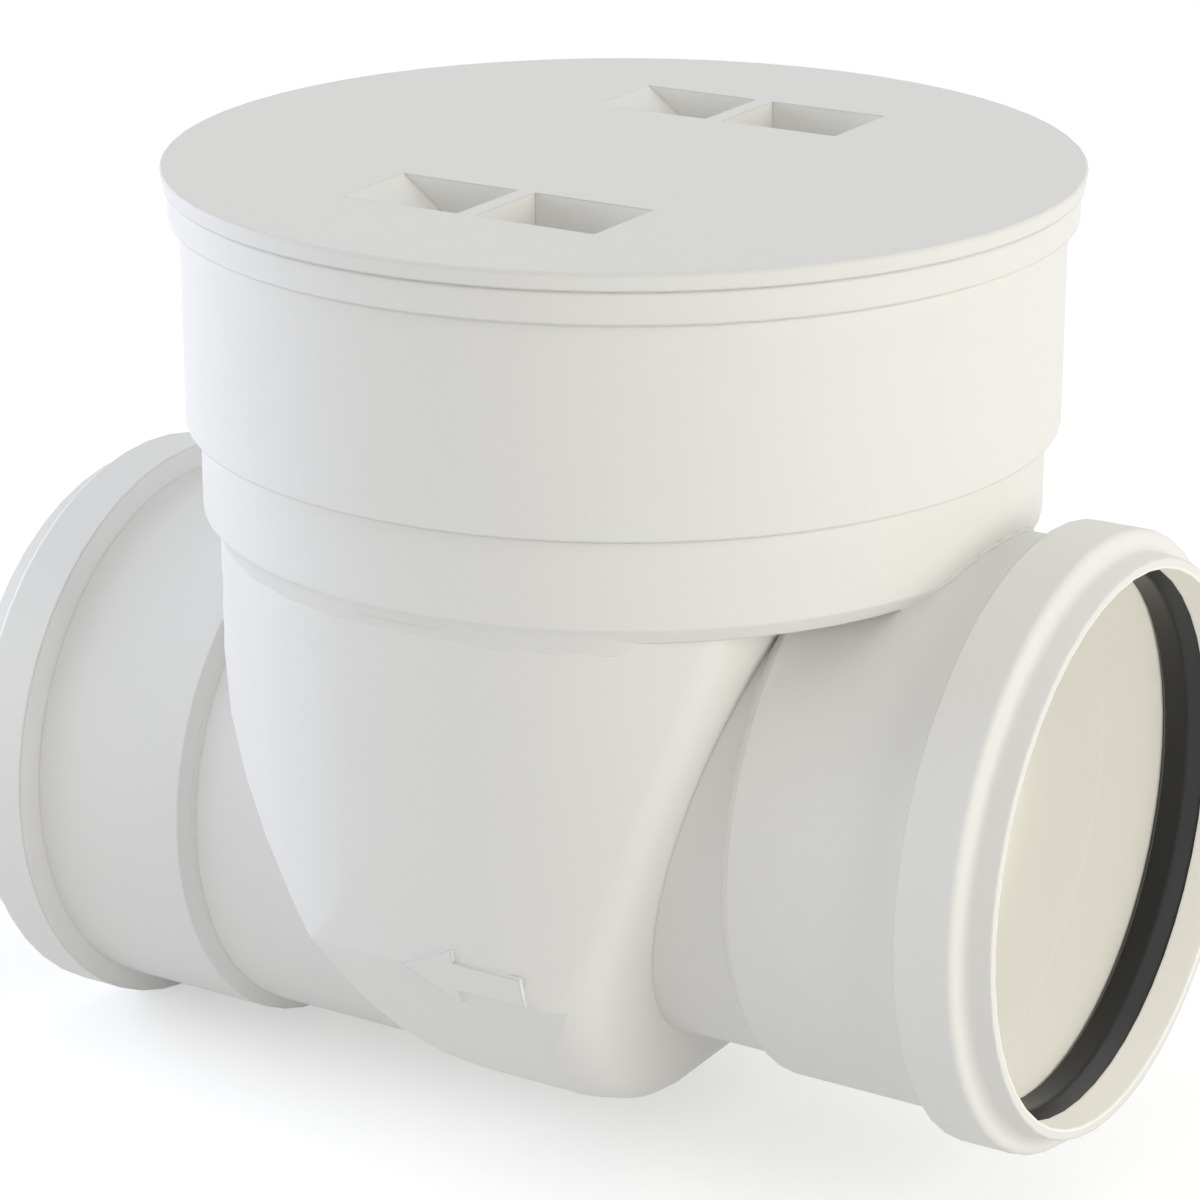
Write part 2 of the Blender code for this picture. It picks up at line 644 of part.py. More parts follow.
def make_lid():
    under = LID_TOP - LID_THICKNESS
    skirt = CHAMBER_RADIUS - CHAMBER_WALL - GAP
    groove = skirt - 2 * O_RING_RADIUS - GAP
    ring_z = under - O_RING_DEPTH
    groove_half = O_RING_RADIUS + GAP
    end = under - SKIRT_LENGTH
    edge = 0.4 * MM
    profile = [
        (0, LID_TOP),
        (LID_RADIUS - edge, LID_TOP),
        (LID_RADIUS, LID_TOP - edge),
        (LID_RADIUS - edge, under),
        (skirt, under),
        (skirt, ring_z + groove_half),
        (groove, ring_z + groove_half),
        (groove, ring_z - groove_half),
        (skirt, ring_z - groove_half),
        (skirt, end + MM),
        (skirt - MM, end),
        (skirt - SKIRT_WALL, end),
        (skirt - SKIRT_WALL, under),
        (0, under),
    ]
    lid = turned("lid", profile, PVC, chamber_frame, LARGE_STEPS, closed=False)
    bottom = LID_TOP - POCKET_DEPTH - POCKET_WALL
    reach = POCKET_REACH + POCKET_WALL
    for end_name, low_y, high_y in (
        ("near", -POCKET_FAR, -POCKET_NEAR),
        ("far", POCKET_NEAR, POCKET_FAR),
    ):
        shell = block(
            (-reach, low_y - POCKET_WALL, bottom), (reach, high_y + POCKET_WALL, under + MM)
        )
        join(lid, solid(f"{end_name}_pocket_shell", shell, parent=chamber_frame, cutter=True))
    for end_name, low_y, high_y in (
        ("near", -POCKET_FAR, -POCKET_NEAR),
        ("far", POCKET_NEAR, POCKET_FAR),
    ):
        for side in (-1, 1):
            shape = prism(pocket_outline(side), low_y, high_y)
            name = f"{end_name}_pocket_{'left' if side < 0 else 'right'}"
            cut(lid, solid(name, shape, parent=chamber_frame, cutter=True))
    section = []
    for i in range(6):
        turn = -2 * math.pi * i / 6
        section.append(
            (
                groove + GAP + O_RING_RADIUS * (1 + math.cos(turn)),
                ring_z + O_RING_RADIUS * math.sin(turn),
            )
        )
    turned("lid_o_ring", section, RUBBER, chamber_frame, LARGE_STEPS)


# Seat

SEAT_BACK = GASKET_THICKNESS + 2 * GAP  # off the inlet wall
SEAT_FACE = SEAT_BACK + SEAT_FLANGE
SEAT_CREST = SEAT_FACE + SEAT_RIM_HEIGHT
SEAT_SPIN = {"rotation": (0, QUARTER_TURN, 0)}


def make_seat():
    frame = seat_frame_origin
    gasket = [
        (GASKET_OUTER, -GAP),
        (GASKET_OUTER, -GAP - GASKET_THICKNESS),
        (GASKET_INNER, -GAP - GASKET_THICKNESS),
        (GASKET_INNER, -GAP),
    ]
    turned("seat_gasket", gasket, RUBBER, frame, RING_STEPS, **SEAT_SPIN)
    rim = PORT_RADIUS + SEAT_RIM_WIDTH
    profile = [
        (SEAT_RADIUS, -SEAT_BACK),
        (SEAT_RADIUS, -SEAT_FACE),
        (rim, -SEAT_FACE),
        (rim - MM, -SEAT_CREST),
        (PORT_RADIUS, -SEAT_CREST),
        (PORT_RADIUS, -SEAT_BACK),
    ]
    seat = turned("seat_frame", profile, PVC_GREY, frame, RING_STEPS, **SEAT_SPIN)
    places = ear_places()
    relief = 0.1 * MM
    for i, (wide, high) in enumerate(places):
        spot = (0, wide, high)
        ear = axial(f"ear_{i}", EAR_RADIUS, relief - SEAT_FACE, -SEAT_BACK - relief, frame, 24, spot)
        join(seat, ear)
    inner = BARREL_LENGTH / 2 + GAP
    outer = inner + LUG_THICKNESS
    plate_top = HINGE_RISE + 0.4 * LUG_RADIUS
    edge = outer + 0.7 * MM
    low_corner = (2 * relief - SEAT_FACE, -edge, PORT_RADIUS - 7.3 * MM)
    shape = block(low_corner, (-SEAT_BACK - 2 * relief, edge, plate_top))
    plate = solid("hinge_plate", shape, parent=frame, cutter=True)
    opening = PORT_RADIUS + SEAT_RIM_WIDTH / 2
    cut(plate, axial("plate_opening", opening, -2 * SEAT_CREST, MM, frame, RING_STEPS))
    join(seat, plate)
    for side in (-1, 1):
        low_y, high_y = sorted((side * inner, side * outer))
        foot = block((-HINGE_STANDOFF, low_y, SEAT_RADIUS - 4 * MM), (-SEAT_BACK - MM, high_y, plate_top - MM))
        name = "front" if side < 0 else "rear"
        join(seat, solid(f"{name}_lug_foot", foot, parent=frame, cutter=True))
        spot = (-HINGE_STANDOFF, 0, HINGE_RISE)
        join(seat, across(f"{name}_lug_eye", LUG_RADIUS, low_y, high_y, frame, spot))
    reach = BARREL_LENGTH
    spot = (-HINGE_STANDOFF, 0, HINGE_RISE)
    cut(seat, across("lug_bore", PIN_RADIUS + PIN_CLEARANCE, -reach, reach, frame, spot))
    for i, (wide, high) in enumerate(places):
        hole = axial(
            f"ear_hole_{i}", SCREW_RADIUS + GAP, -SEAT_CREST, 0, frame, SCREW_STEPS, (0, wide, high)
        )
        cut(seat, hole)
        screw(f"seat_screw_{i + 1}", frame, (-SEAT_FACE - GAP, wide, high), SEAT_FLANGE + SCREW_GRIP, -1)


def screw(name, frame, seat_spot, length, facing):
    """A pan-head screw along X: its head stands off the seat on the facing side."""
    head = SCREW_HEAD_RADIUS
    height = SCREW_HEAD_HEIGHT
    profile = [
        (0, height),
        (head * 0.6, height),
        (head * 0.9, height * 0.6),
        (head, 0),
        (SCREW_RADIUS, 0),
        (SCREW_RADIUS, -length + MM),
        (SCREW_RADIUS * 0.5, -length),
        (0, -length),
    ]
    turned(
        name,
        profile,
        STEEL,
        frame,
        SCREW_STEPS,
        closed=False,
        location=seat_spot,
        rotation=(0, facing * QUARTER_TURN, 0),
    )


# Flap, in the hinge's own frame: X towards the inlet, Z up the seat, the disc below the hinge

def make_flap():
    frame = hinge_frame
    hub = (0, 0, -HINGE_RISE)
    spin = {"location": hub, "rotation": (0, QUARTER_TURN, 0)}
    seal_top = HINGE_STANDOFF - SEAT_CREST - GAP
    plate_top = seal_top - FLAP_SEAL_THICKNESS - GAP
    plate_bottom = plate_top - FLAP_THICKNESS
    rim_inner = FLAP_RADIUS - 4 * MM
    profile = [
        (0, plate_top),
        (FLAP_RADIUS, plate_top),
        (FLAP_RADIUS, plate_bottom - FLAP_RIM_HEIGHT),
        (rim_inner + MM, plate_bottom - FLAP_RIM_HEIGHT),
        (rim_inner, plate_bottom),
        (0, plate_bottom),
    ]
    flap = turned("flap", profile, PVC_GREY, frame, RING_STEPS, closed=False, **spin)
    half = BARREL_LENGTH / 2
    join(flap, across("barrel", BARREL_RADIUS, -half, half, frame, (0, 0, 0)))
    for side in (-1, 1):
        middle = side * FLAP_ARM_SPACING / 2
        arm = block(
            (plate_bottom - FLAP_RIM_HEIGHT, middle - FLAP_ARM_WIDTH / 2, -FLAP_ARM_LENGTH),
            (plate_top - 0.5 * MM, middle + FLAP_ARM_WIDTH / 2, 0),
        )
        name = "front" if side < 0 else "rear"
        join(flap, solid(f"{name}_arm", arm, parent=frame, cutter=True))
    reach = BARREL_LENGTH
    cut(flap, across("barrel_bore", PIN_RADIUS + PIN_CLEARANCE, -reach, reach, frame, (0, 0, 0)))

    seal = [
        (FLAP_RADIUS, seal_top),
        (FLAP_RADIUS, seal_top - FLAP_SEAL_THICKNESS),
        (FLAP_SEAL_INNER, seal_top - FLAP_SEAL_THICKNESS),
        (FLAP_SEAL_INNER, seal_top),
    ]
    turned("flap_seal", seal, RUBBER, frame, RING_STEPS, **spin)
    rim = PORT_RADIUS - RETAINER_CLEARANCE
    boss = FLAP_SEAL_INNER - GAP
    back = seal_top + GAP
    face = back + RETAINER_THICKNESS
    clamp = [
        (0, face),
        (rim - MM, face),
        (rim, face - MM),
        (rim, back),
        (boss, back),
        (boss, plate_top + GAP),
        (0, plate_top + GAP),
    ]
    retainer = turned("seal_retainer", clamp, PVC_GREY, frame, RING_STEPS, closed=False, **spin)
    length = face + GAP - plate_bottom - MM
    for i in range(4):
        turn = QUARTER_TURN * (i + 0.5)
        wide = RETAINER_SCREW_CIRCLE * math.cos(turn)
        high = RETAINER_SCREW_CIRCLE * math.sin(turn) - HINGE_RISE
        spot = (0, wide, high)
        hole = axial(
            f"retainer_hole_{i}",
            SCREW_RADIUS + GAP,
            plate_bottom + 0.5 * MM,
            face + MM,
            frame,
            SCREW_STEPS,
            spot,
        )
        cut(retainer, hole)
        cut(flap, hole)
        screw(f"retainer_screw_{i + 1}", frame, (face + GAP, wide, high), length, 1)


def make_pin():
    frame = seat_frame_origin
    reach = BARREL_LENGTH / 2 + GAP + LUG_THICKNESS + GAP + CLIP_THICKNESS + PIN_OVERHANG
    edge = 0.4 * MM
    profile = [
        (0, reach),
        (PIN_RADIUS - edge, reach),
        (PIN_RADIUS, reach - edge),
        (PIN_RADIUS, edge - reach),
        (PIN_RADIUS - edge, -reach),
        (0, -reach),
    ]
    spot = (-HINGE_STANDOFF, 0, HINGE_RISE)
    lie = {"location": spot, "rotation": (QUARTER_TURN, 0, 0)}
    turned("hinge_pin", profile, STEEL, frame, SMALL_STEPS, closed=False, **lie)
    clip_low = BARREL_LENGTH / 2 + GAP + LUG_THICKNESS + GAP
    hole = PIN_RADIUS + PIN_CLEARANCE
    for number, side in ((1, 1), (2, -1)):
        top = clip_low + CLIP_THICKNESS if side > 0 else -clip_low
        ring = [
            (CLIP_RADIUS, top),
            (CLIP_RADIUS, top - CLIP_THICKNESS),
            (hole, top - CLIP_THICKNESS),
            (hole, top),
        ]
        turned(f"pin_clip_{number}", ring, STEEL, frame, SMALL_STEPS, **lie)


make_housing()
make_socket("inlet", INLET_REACH, 0.0, QUARTER_TURN)
make_socket("outlet", -OUTLET_REACH, -OUTLET_DROP, -QUARTER_TURN)
make_chamber()
make_lid()
make_seat()
make_flap()
make_pin()
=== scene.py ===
"""Studio picture of the backwater valve. Lengths are in metres, in the CAD model's frame."""

import json
import math

import bmesh
import bpy
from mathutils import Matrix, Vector

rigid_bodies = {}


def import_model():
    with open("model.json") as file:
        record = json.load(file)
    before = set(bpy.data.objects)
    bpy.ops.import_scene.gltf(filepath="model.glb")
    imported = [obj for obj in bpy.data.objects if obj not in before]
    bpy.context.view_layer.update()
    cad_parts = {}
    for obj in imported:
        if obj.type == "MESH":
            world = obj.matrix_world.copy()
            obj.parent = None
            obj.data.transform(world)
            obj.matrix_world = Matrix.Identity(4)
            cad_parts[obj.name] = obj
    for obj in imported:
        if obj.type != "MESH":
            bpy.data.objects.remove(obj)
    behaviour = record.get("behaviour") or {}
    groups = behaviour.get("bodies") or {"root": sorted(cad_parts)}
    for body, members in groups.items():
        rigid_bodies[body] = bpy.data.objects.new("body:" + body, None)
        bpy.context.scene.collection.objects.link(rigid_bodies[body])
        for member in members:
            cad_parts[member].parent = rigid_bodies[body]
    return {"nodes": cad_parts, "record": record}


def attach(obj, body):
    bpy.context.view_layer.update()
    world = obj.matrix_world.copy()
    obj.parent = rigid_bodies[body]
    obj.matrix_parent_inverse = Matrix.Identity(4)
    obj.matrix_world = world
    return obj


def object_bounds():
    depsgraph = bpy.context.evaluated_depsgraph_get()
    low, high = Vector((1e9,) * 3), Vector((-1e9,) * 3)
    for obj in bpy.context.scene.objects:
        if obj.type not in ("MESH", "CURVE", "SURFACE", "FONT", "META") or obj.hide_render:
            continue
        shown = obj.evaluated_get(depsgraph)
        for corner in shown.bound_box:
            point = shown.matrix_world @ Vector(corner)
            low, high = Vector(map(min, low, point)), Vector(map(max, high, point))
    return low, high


MM = 0.001

# The valve's own sizes, as in its source
CHAMBER_X = -104.7 * MM
TROUGH_HALF_WIDTH = 74.3 * MM
TROUGH_DEPTH = 59.0 * MM
TROUGH_CENTRE = -4.7 * MM
LEDGE_HEIGHT = 47.0 * MM
HOUSING_RADIUS = 75.3 * MM
SLEEVE_RADIUS = 78.3 * MM
SLEEVE_FOOT = 75.9 * MM
SLEEVE_CHAMFER = 3.0 * MM
SOCKET_RADIUS = 53.3 * MM
INLET_REAR_X = 51.6 * MM  # the sockets' rear ends, from the chamber's axis
OUTLET_REAR_X = -65.0 * MM
OUTLET_DROP = 15.7 * MM
RIM_TOP = 110.8 * MM
RIM_RADIUS = 83.2 * MM

# Sections in a full turn of the bands that the scene adds
TURN_STEPS = 96

# Flow arrow low on the housing's front. Its x runs from the chamber's axis.
ARROW_TIP_X = -2.2 * MM
ARROW_HEAD = 11.4 * MM
ARROW_LENGTH = 25.4 * MM
ARROW_MIDDLE_Z = -19.4 * MM
ARROW_HEAD_HALF = 5.9 * MM
ARROW_SHAFT_HALF = 3.1 * MM
ARROW_RAISE = 0.7 * MM
ARROW_SUNK = 0.4 * MM
ARROW_LEVELS = (-4 * MM, -2 * MM, 0, 2 * MM, 4 * MM)  # where it bends with the housing

# Lines of cement at the sockets' rear ends
CEMENT_INNER = 50.5 * MM
CEMENT_OUTER = 51.7 * MM
CEMENT_LENGTH = 0.9 * MM
CEMENT_COVERED = 0.4 * MM  # the part that lies under the socket's end
CEMENT_EDGE = 0.2  # share of its length that stands at its full radius
CEMENT_BULGE_OUT = 0.6  # the bulge's crest, in shares of its thickness and length
CEMENT_BULGE_ALONG = 0.7

# Fillet along the notch over the inlet socket: out from the socket, and out from the sleeve
NOTCH_DEPTH = 1.0 * MM
NOTCH_FILLET = 0.35 * MM
NOTCH_PROFILE = (
    (-0.3 * MM, -NOTCH_DEPTH),
    (-0.3 * MM, NOTCH_FILLET),
    (-0.1 * MM, NOTCH_FILLET),
    (0.2 * MM, 0.1 * NOTCH_FILLET),
    (0.8 * MM, -0.6 * NOTCH_FILLET),
    (0.8 * MM, -NOTCH_DEPTH),
)

# Slope that runs from the sleeve's foot into the housing's side
SLOPE_TOP = 49.8 * MM
SLOPE_FALL = 5.5 * MM
SLOPE_LEAST_FALL = 0.5  # share of the fall that is left where the slope runs out
SLOPE_WIDTH = 2.75 * MM
SLOPE_BEND = 0.42  # share of its width at half its height
SLOPE_SUNK = 0.25 * MM  # how deep its edges lie in the housing
SLOPE_INNER = TROUGH_HALF_WIDTH - 1.0 * MM
SLOPE_HALF_OPENING = math.radians(52.0)  # over the inlet, where there is none
SLOPE_RUN_OUT = math.radians(9.0)
FLAT_LEAST_SINE = 0.5  # below this the side is round in any case, and nothing divides by 0

# Low crest on the chamber's rim, just under the lid
CREST_WIDTH = 1.8 * MM
CREST_HEIGHT = 0.24 * MM
CREST_SETBACK = 0.35 * MM
CREST_SHOULDER = 0.3  # share of its height at its outer edge

# Moulded plastic
PVC_COLOUR = (0.86, 0.855, 0.825)
PVC_ROUGHNESS = 0.45
GREY_COLOUR = (0.42, 0.43, 0.44)
GREY_ROUGHNESS = 0.42
PLASTIC_SPECULAR = 0.35
EDGE_ROUNDING = 0.7 * MM
ARROW_ROUNDING = 0.4 * MM
BEVEL_SAMPLES = 4
GRAIN_DEPTH = 0.02  # how much darker the grain's darkest spots are
GRAIN_SCALE = 22.0
GRAIN_DETAIL = 3.0
GLOSS_SPREAD = 0.04

# Rubber and steel
RUBBER_COLOUR = (0.012, 0.012, 0.013)
RUBBER_ROUGHNESS = 0.36
STEEL_COLOUR = (0.66, 0.66, 0.64)
STEEL_ROUGHNESS = 0.28

# Painted glow inside the bores: an emission that stands in for light through their thin walls
SOCKET_GLOW_RADIUS = 51.4 * MM  # just outside the bores' own radii
SPIGOT_GLOW_RADIUS = 48.2 * MM
PAINTED_GLOW_COLOUR = (1.0, 0.95, 0.76)
PAINTED_GLOW_STRENGTH = 0.2
GLOW_EDGE = 0.2 * MM  # it fades over this much of a bore's wall
GLOW_FADE = 1.0 * MM  # and over this much of a bore's length, where it begins
SPIGOT_GLOW_X = 32.0 * MM  # from the chamber's axis

# Inputs and output that the Mix node uses for colours
MIX_A = 6
MIX_B = 7
MIX_RESULT = 2

# Smooth shading
WELD_DISTANCE = 0.002 * MM
SOLID_SHARP_ANGLE = math.radians(30)
PIECE_SHARP_ANGLE = math.radians(40)

# Camera
CAMERA_PLACE = (275.9 * MM, -631.1 * MM, 288.36 * MM)
CAMERA_YAW = math.radians(31.4258)
CAMERA_PITCH = math.radians(-19.4456)
CAMERA_LENS = 123.92
CAMERA_SENSOR = 36.0

# Floor
FLOOR_HALF = 3.0
FLOOR_GAP = 0.3 * MM
FLOOR_COLOUR = (0.8, 0.8, 0.8)
FLOOR_ROUGHNESS = 0.9
FLOOR_LIFT = 0.45  # what rays that see the backdrop get on top of the floor's own light

# Light
COOL = (0.745, 0.79, 0.965)
WARM = (1.0, 0.965, 0.87)
NEUTRAL = (1.0, 1.0, 1.0)
FILL_COLOUR = (0.974, 0.977, 0.983)
FILL_STRENGTH = 0.468
BACKDROP_STRENGTH = 1.0
LIGHT_TARGET = Vector((CHAMBER_X, 0.0, 20 * MM))
LIGHT_DISTANCE = 1.6
LIGHT_SIZE = 1.2

# Soft boxes: name, direction from the valve (degrees from +X, degrees up), watts, colour
SOFT_BOXES = (
    ("left_soft_box", -170, 10, 16.3, COOL),
    ("front_left_soft_box", -130, 10, 3.6, NEUTRAL),
    ("right_soft_box", -5, 10, 14.0, WARM),
    ("top_soft_box", -90, 75, 1.4, NEUTRAL),
    ("back_soft_box", 60, 40, 2.7, NEUTRAL),
)

scene = bpy.context.scene
for old in list(bpy.data.objects):
    bpy.data.objects.remove(old)

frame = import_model()
cad_low, cad_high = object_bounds()
nodes = frame["nodes"]


def rgba(colour):
    """A colour as Blender's sockets take it."""
    return (*colour, 1.0)


def shader_nodes(made):
    """A material's node tree and its Principled shader."""
    made.use_nodes = True
    return made.node_tree, made.node_tree.nodes["Principled BSDF"]


def plastic(name, colour, roughness, rounding=EDGE_ROUNDING):
    """Moulded plastic: a faint unevenness in colour and gloss, and slightly rounded edges."""
    made = bpy.data.materials.new(name)
    tree, shader = shader_nodes(made)
    shader.inputs["Specular IOR Level"].default_value = PLASTIC_SPECULAR
    place = tree.nodes.new("ShaderNodeTexCoord")
    cloud = tree.nodes.new("ShaderNodeTexNoise")
    cloud.inputs["Scale"].default_value = GRAIN_SCALE
    cloud.inputs["Detail"].default_value = GRAIN_DETAIL
    tree.links.new(place.outputs["Object"], cloud.inputs["Vector"])
    tint = tree.nodes.new("ShaderNodeMix")
    tint.data_type = "RGBA"
    tint.inputs[MIX_A].default_value = rgba([c * (1 - GRAIN_DEPTH) for c in colour])
    tint.inputs[MIX_B].default_value = rgba(colour)
    tree.links.new(cloud.outputs["Fac"], tint.inputs[0])
    tree.links.new(tint.outputs[MIX_RESULT], shader.inputs["Base Color"])
    gloss = tree.nodes.new("ShaderNodeMapRange")
    gloss.inputs["To Min"].default_value = roughness - GLOSS_SPREAD
    gloss.inputs["To Max"].default_value = roughness + GLOSS_SPREAD
    tree.links.new(cloud.outputs["Fac"], gloss.inputs["Value"])
    tree.links.new(gloss.outputs["Result"], shader.inputs["Roughness"])
    edge = tree.nodes.new("ShaderNodeBevel")
    edge.samples = BEVEL_SAMPLES
    edge.inputs["Radius"].default_value = rounding
    tree.links.new(edge.outputs["Normal"], shader.inputs["Normal"])
    return made


def paint_bore_glow(made, axis_z, radius, from_x):
    """A painted cream glow inside a bore, in front of from_x: an emission that stands in for
    light through the thin wall.
    """
    tree, shader = shader_nodes(made)
    place = tree.nodes.new("ShaderNodeTexCoord")
    flatten = tree.nodes.new("ShaderNodeMapping")
    flatten.inputs["Location"].default_value = (0.0, 0.0, -axis_z)
    flatten.inputs["Scale"].default_value = (0.0, 1.0, 1.0)
    tree.links.new(place.outputs["Object"], flatten.inputs["Vector"])
    length = tree.nodes.new("ShaderNodeVectorMath")
    length.operation = "LENGTH"
    tree.links.new(flatten.outputs["Vector"], length.inputs[0])
    inside = tree.nodes.new("ShaderNodeMapRange")
    inside.inputs["From Min"].default_value = radius
    inside.inputs["From Max"].default_value = radius + GLOW_EDGE
    inside.inputs["To Min"].default_value = PAINTED_GLOW_STRENGTH
    inside.inputs["To Max"].default_value = 0.0
    tree.links.new(length.outputs["Value"], inside.inputs["Value"])
    split = tree.nodes.new("ShaderNodeSeparateXYZ")
    tree.links.new(place.outputs["Object"], split.inputs[0])
    ahead = tree.nodes.new("ShaderNodeMapRange")
    ahead.inputs["From Min"].default_value = from_x
    ahead.inputs["From Max"].default_value = from_x + GLOW_FADE
    tree.links.new(split.outputs["X"], ahead.inputs["Value"])
    both = tree.nodes.new("ShaderNodeMath")
    both.operation = "MULTIPLY"
    tree.links.new(inside.outputs["Result"], both.inputs[0])
    tree.links.new(ahead.outputs["Result"], both.inputs[1])
    # The painted glow's strength: the two masks multiplied
    tree.links.new(both.outputs["Value"], shader.inputs["Emission Strength"])
    shader.inputs["Emission Color"].default_value = rgba(PAINTED_GLOW_COLOUR)
    return made


def plain(name, colour, roughness, metallic=0.0):
    """An even material."""
    made = bpy.data.materials.new(name)
    _, shader = shader_nodes(made)
    shader.inputs["Base Color"].default_value = rgba(colour)
    shader.inputs["Roughness"].default_value = roughness
    shader.inputs["Metallic"].default_value = metallic
    return made


WHITE = plastic("white_pvc_moulded", PVC_COLOUR, PVC_ROUGHNESS)
ARROW_WHITE = plastic("white_pvc_arrow", PVC_COLOUR, PVC_ROUGHNESS, ARROW_ROUNDING)

FINISHES = {
    "white_pvc": WHITE,
    "grey_pvc": plastic("grey_pvc_moulded", GREY_COLOUR, GREY_ROUGHNESS),
    "black_rubber": plain("black_rubber_satin", RUBBER_COLOUR, RUBBER_ROUGHNESS),
    "stainless_steel": plain("stainless_steel_bright", STEEL_COLOUR, STEEL_ROUGHNESS, 1.0),
}


def soften(piece):
    """Shade a faceted CAD solid smoothly between its sharp edges."""
    mesh = piece.data
    if "custom_normal" in mesh.attributes:
        mesh.attributes.remove(mesh.attributes["custom_normal"])
    mesh.shade_smooth()
    weld = piece.modifiers.new("weld", "WELD")
    weld.merge_threshold = WELD_DISTANCE
    split = piece.modifiers.new("sharp_edges", "EDGE_SPLIT")
    split.split_angle = SOLID_SHARP_ANGLE
    # The housing has long thin facets, which look smoother without it
    if piece.name != "housing":
        weighted = piece.modifiers.new("even_faces", "WEIGHTED_NORMAL")
        weighted.keep_sharp = True


for part in frame["record"]["subparts"]:
    node = nodes[part["node"]]
    node.data.materials.clear()
    node.data.materials.append(FINISHES[part["material_slot"]])
    soften(node)

# Painted glow in the bores of the two sockets and of the housing's inlet spigot
for lit_name, axis_height, glow_radius, start_x in (
    ("inlet_socket", 0.0, SOCKET_GLOW_RADIUS, cad_low[0]),
    ("outlet_socket", -OUTLET_DROP, SOCKET_GLOW_RADIUS, cad_low[0] - GLOW_FADE),
    ("housing", 0.0, SPIGOT_GLOW_RADIUS, CHAMBER_X + SPIGOT_GLOW_X),
):
    moulded = plastic(f"white_pvc_{lit_name}", PVC_COLOUR, PVC_ROUGHNESS)
    lit = paint_bore_glow(moulded, axis_height, glow_radius, start_x)
    nodes[lit_name].data.materials[0] = lit


def add_piece(name, shape, finish):
    """A closed white piece that rides with the valve's body."""
    bmesh.ops.recalc_face_normals(shape, faces=shape.faces)
    mesh = bpy.data.meshes.new(name)
    shape.to_mesh(mesh)
    shape.free()
    mesh.materials.append(finish)
    mesh.shade_smooth()
    piece = bpy.data.objects.new(name, mesh)
    scene.collection.objects.link(piece)
    split = piece.modifiers.new("sharp_edges", "EDGE_SPLIT")
    split.split_angle = PIECE_SHARP_ANGLE
    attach(piece, "valve")


def front_y(height):
    """Where the housing's long front side stands, at a height."""
    below = max(0.0, TROUGH_CENTRE - height)
    return -TROUGH_HALF_WIDTH * math.sqrt(1 - (below / TROUGH_DEPTH) ** 2)


def make_arrow():
    """The raised arrow, which points the way the water runs."""
    neck_x = ARROW_TIP_X + ARROW_HEAD
    end_x = ARROW_TIP_X + ARROW_LENGTH
    outline = [
        (ARROW_TIP_X, 0),
        (neck_x, ARROW_HEAD_HALF),
        (neck_x, ARROW_SHAFT_HALF),
        (end_x, ARROW_SHAFT_HALF),
        (end_x, -ARROW_SHAFT_HALF),
        (neck_x, -ARROW_SHAFT_HALF),
        (neck_x, -ARROW_HEAD_HALF),
    ]
    shape = bmesh.new()
    shape.faces.new([shape.verts.new((x, 0, z)) for x, z in outline])
    for height in ARROW_LEVELS:
        bmesh.ops.bisect_plane(
            shape,
            geom=shape.verts[:] + shape.edges[:] + shape.faces[:],
            plane_co=(0, 0, height),
            plane_no=(0, 0, 1),
        )
    grown = bmesh.ops.extrude_face_region(shape, geom=shape.faces[:])
    raised = {item for item in grown["geom"] if isinstance(item, bmesh.types.BMVert)}
    for vert in shape.verts:
        height = vert.co.z + ARROW_MIDDLE_Z
        stand = ARROW_RAISE if vert in raised else -ARROW_SUNK
        vert.co = (CHAMBER_X + vert.co.x, front_y(height) - stand, height)
    add_piece("flow_arrow", shape, ARROW_WHITE)


def make_band(name, sections, closed):
    """A band through outlines of equal length, closed on itself or capped at its two ends."""
    shape = bmesh.new()
    rings = [[shape.verts.new(point) for point in section] for section in sections]
    following = rings[1:] + (rings[:1] if closed else [])
    for first, second in zip(rings, following):
        for i, vert in enumerate(first):
            j = (i + 1) % len(first)
            shape.faces.new((vert, first[j], second[j], second[i]))
    if not closed:
        shape.faces.new(rings[0])
        shape.faces.new(rings[-1])
    add_piece(name, shape, WHITE)


def full_turn():
    """The angles of the sections of a closed band."""
    return [2 * math.pi * i / TURN_STEPS for i in range(TURN_STEPS)]


def around_chamber(profile, turn):
    """A profile of radii and heights, turned about the chamber's axis."""
    return [
        (CHAMBER_X + radius * math.cos(turn), radius * math.sin(turn), height)
        for radius, height in profile
    ]


def make_cement(name, rear_x, axis_z, facing):
    """The line of solvent cement at a socket's rear end. Facing is 1 if the socket is at +X."""
    thickness = CEMENT_OUTER - CEMENT_INNER
    profile = [
        (CEMENT_INNER, CEMENT_COVERED),
        (CEMENT_OUTER, CEMENT_COVERED),
        (CEMENT_OUTER, -CEMENT_EDGE * CEMENT_LENGTH),
        (CEMENT_INNER + CEMENT_BULGE_OUT * thickness, -CEMENT_BULGE_ALONG * CEMENT_LENGTH),
        (CEMENT_INNER, -CEMENT_LENGTH),
    ]
    sections = []
    for turn in full_turn():
        section = []
        for radius, along in profile:
            x = CHAMBER_X + rear_x + facing * along
            section.append((x, radius * math.cos(turn), axis_z + radius * math.sin(turn)))
        sections.append(section)
    make_band(name, sections, closed=True)


def sleeve_radius(height):
    """Outer radius of the chamber's sleeve, with the chamfer at its foot."""
    up = min(1.0, max(0.0, (height - LEDGE_HEIGHT) / SLEEVE_CHAMFER))
    return SLEEVE_FOOT + (SLEEVE_RADIUS - SLEEVE_FOOT) * up


